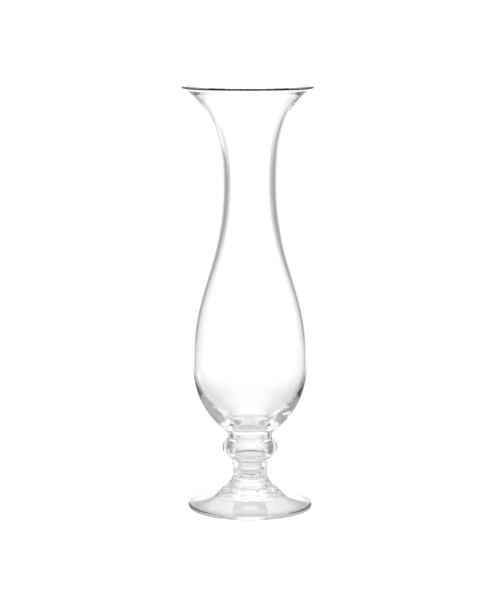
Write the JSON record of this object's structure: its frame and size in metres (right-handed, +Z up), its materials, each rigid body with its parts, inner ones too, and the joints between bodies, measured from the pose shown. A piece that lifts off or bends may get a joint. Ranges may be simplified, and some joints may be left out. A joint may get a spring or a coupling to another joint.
{
  "type": "flower vase",
  "caption": "Tall clear glass flower vase with a flared mouth, narrow neck and rounded belly, on a hollow knop, short stem and domed foot.",
  "frame": {"origin": "middle of the ring that the foot rests on, on the table plane", "axes": "+Z up along the vase's axis of turning, from the foot to the mouth; +X to the right and -Y towards the viewer, though the vase looks the same all round"},
  "size_m": [0.124, 0.124, 0.4],
  "materials": {
    "blown_glass": "clear colourless blown glass, fire-polished, thin walled",
    "worked_glass": "clear colourless glass worked hot with tools, thick walled, with faint tool rings",
    "foot_glass": "clear colourless spun glass, fine wear on the resting ring"
  },
  "bodies": {
    "root": {"bowl": "blown_glass", "collar": "worked_glass", "knop": "worked_glass", "stem": "worked_glass", "button": "worked_glass", "foot": "foot_glass"}
  },
  "joints": []
}
